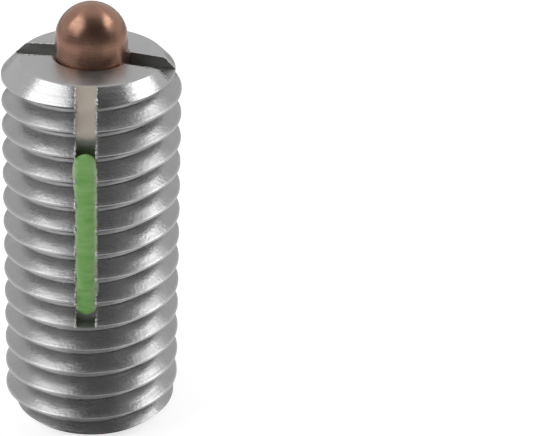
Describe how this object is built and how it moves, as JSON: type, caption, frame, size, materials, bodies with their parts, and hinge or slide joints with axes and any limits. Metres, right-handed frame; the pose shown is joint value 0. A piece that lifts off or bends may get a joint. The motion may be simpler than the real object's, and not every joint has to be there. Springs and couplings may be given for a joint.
{
  "type": "spring plunger",
  "caption": "Threaded spring plunger: a round-nosed pin springs out of a slotted sleeve with a thread-lock strip in its side and a hexagon socket at the rear.",
  "frame": {"origin": "centre of the sleeve's flat rear face", "axes": "+Z along the sleeve's axis, towards the nose of the pin; -Y towards the groove with the thread-lock strip"},
  "size_m": [0.01, 0.01, 0.025],
  "materials": {
    "sleeve_steel": "bright turned stainless steel",
    "strip_polyamide": "satin polyamide",
    "pin_bronze": "polished, bronze-brown",
    "spring_steel": "drawn wire",
    "plug_steel": "turned stainless steel"
  },
  "bodies": {
    "sleeve": {"threaded_sleeve": "sleeve_steel", "thread_lock_strip": "strip_polyamide", "hex_plug": "plug_steel", "compression_spring": "spring_steel"},
    "pin": {"thrust_pin": "pin_bronze"}
  },
  "joints": [
    {"name": "pin_slide", "type": "slide", "parent": "sleeve", "child": "pin", "axis": [0, 0, -1], "range_m": [0, 0.003], "stiffness_N_per_m": 2600, "springref_m": -0.003, "deforming": ["compression_spring"]}
  ]
}
